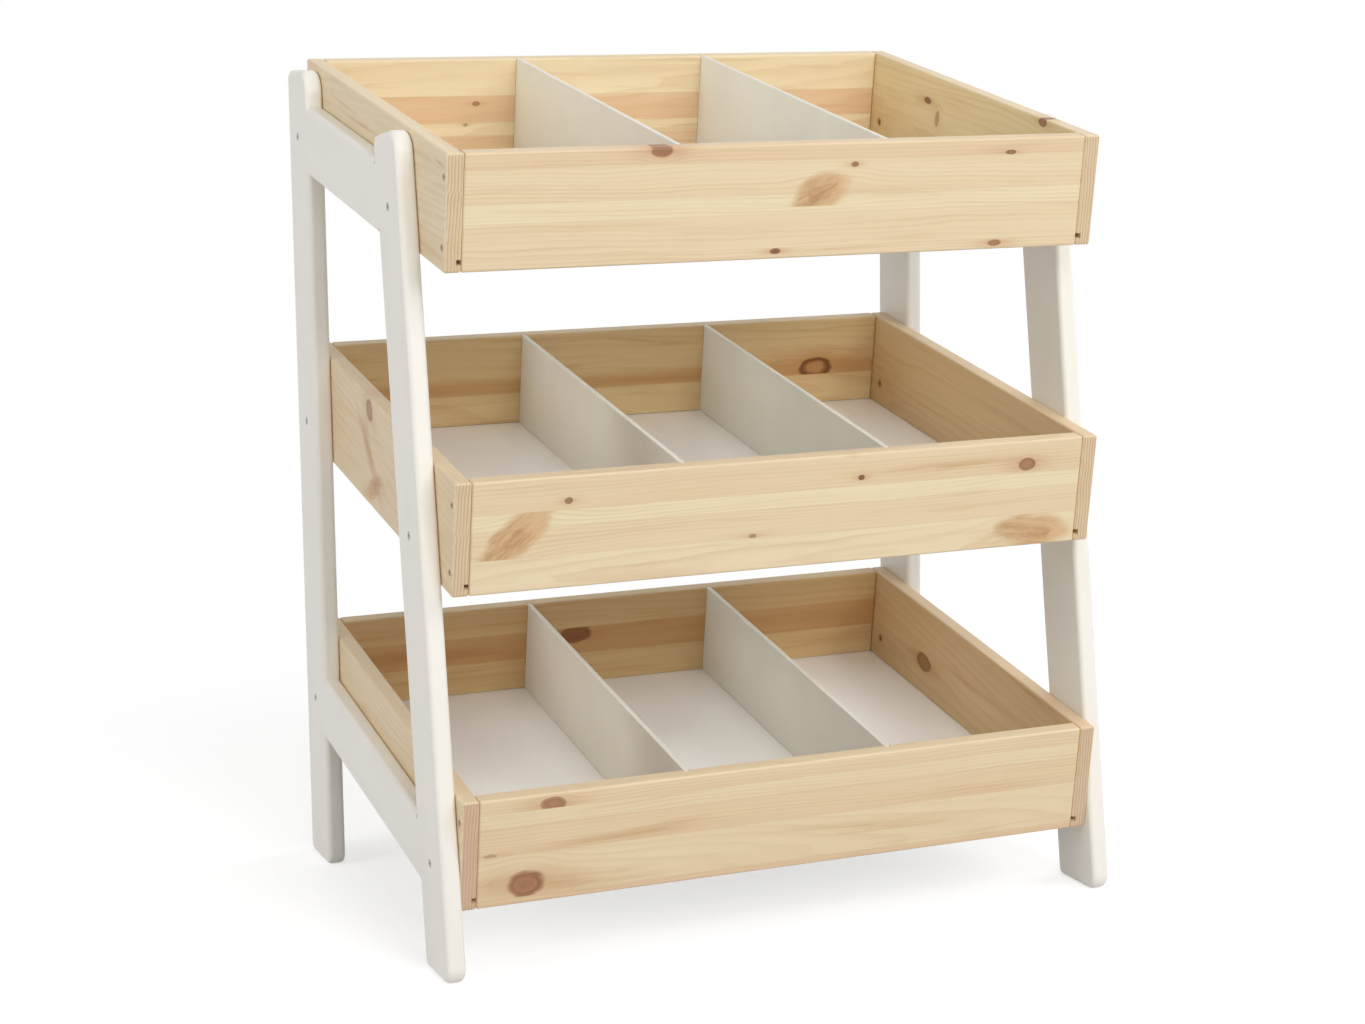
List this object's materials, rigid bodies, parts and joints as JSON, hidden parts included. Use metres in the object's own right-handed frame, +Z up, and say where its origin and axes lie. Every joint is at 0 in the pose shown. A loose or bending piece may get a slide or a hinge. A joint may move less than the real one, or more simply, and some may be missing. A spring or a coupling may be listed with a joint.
{
  "type": "tiered storage unit",
  "caption": "Tiered storage unit: open pine trays tipped towards the front between white side frames, each tray split by lift-out dividers.",
  "frame": {"origin": "on the ground, under the middle of the unit's width and depth", "axes": "+Z up, the low front edges of the trays towards -Y, +X to the right of someone facing the rear"},
  "size_m": [0.686, 0.4774, 0.8249],
  "materials": {
    "pine": "clear satin lacquer",
    "white_paint": "satin white paint",
    "divider_board": "matt warm white",
    "base_sheet": "matt white",
    "beech": "bare",
    "screw_steel": "dull zinc",
    "bolt_steel": "zinc plated",
    "insert_steel": "dull zinc"
  },
  "bodies": {
    "unit": {"left_rear_leg": "white_paint", "left_front_leg": "white_paint", "left_upper_rail": "white_paint", "left_lower_rail": "white_paint", "left_frame_dowels": "beech", "right_rear_leg": "white_paint", "right_front_leg": "white_paint", "right_upper_rail": "white_paint", "right_lower_rail": "white_paint", "right_frame_dowels": "beech", "bottom_front_board": "pine", "bottom_rear_board": "pine", "bottom_left_board": "pine", "bottom_right_board": "pine", "bottom_base_sheet": "base_sheet", "bottom_corner_screws": "screw_steel", "bottom_frame_bolts": "bolt_steel", "bottom_threaded_inserts": "insert_steel", "middle_front_board": "pine", "middle_rear_board": "pine", "middle_left_board": "pine", "middle_right_board": "pine", "middle_base_sheet": "base_sheet", "middle_corner_screws": "screw_steel", "middle_frame_bolts": "bolt_steel", "middle_threaded_inserts": "insert_steel", "top_front_board": "pine", "top_rear_board": "pine", "top_left_board": "pine", "top_right_board": "pine", "top_base_sheet": "base_sheet", "top_corner_screws": "screw_steel", "top_frame_bolts": "bolt_steel", "top_threaded_inserts": "insert_steel"},
    "bottom_left_divider": {"bottom_left_divider": "divider_board"},
    "bottom_right_divider": {"bottom_right_divider": "divider_board"},
    "middle_left_divider": {"middle_left_divider": "divider_board"},
    "middle_right_divider": {"middle_right_divider": "divider_board"},
    "top_left_divider": {"top_left_divider": "divider_board"},
    "top_right_divider": {"top_right_divider": "divider_board"}
  },
  "joints": [
    {"name": "bottom_left_divider_lift", "type": "slide", "parent": "unit", "child": "bottom_left_divider", "axis": [0, -0.1736, 0.9848], "range_m": [0, 0.0956]},
    {"name": "bottom_right_divider_lift", "type": "slide", "parent": "unit", "child": "bottom_right_divider", "axis": [0, -0.1736, 0.9848], "range_m": [0, 0.0956]},
    {"name": "middle_left_divider_lift", "type": "slide", "parent": "unit", "child": "middle_left_divider", "axis": [0, -0.1736, 0.9848], "range_m": [0, 0.0956]},
    {"name": "middle_right_divider_lift", "type": "slide", "parent": "unit", "child": "middle_right_divider", "axis": [0, -0.1736, 0.9848], "range_m": [0, 0.0956]},
    {"name": "top_left_divider_lift", "type": "slide", "parent": "unit", "child": "top_left_divider", "axis": [0, -0.1736, 0.9848], "range_m": [0, 0.0956]},
    {"name": "top_right_divider_lift", "type": "slide", "parent": "unit", "child": "top_right_divider", "axis": [0, -0.1736, 0.9848], "range_m": [0, 0.0956]}
  ]
}
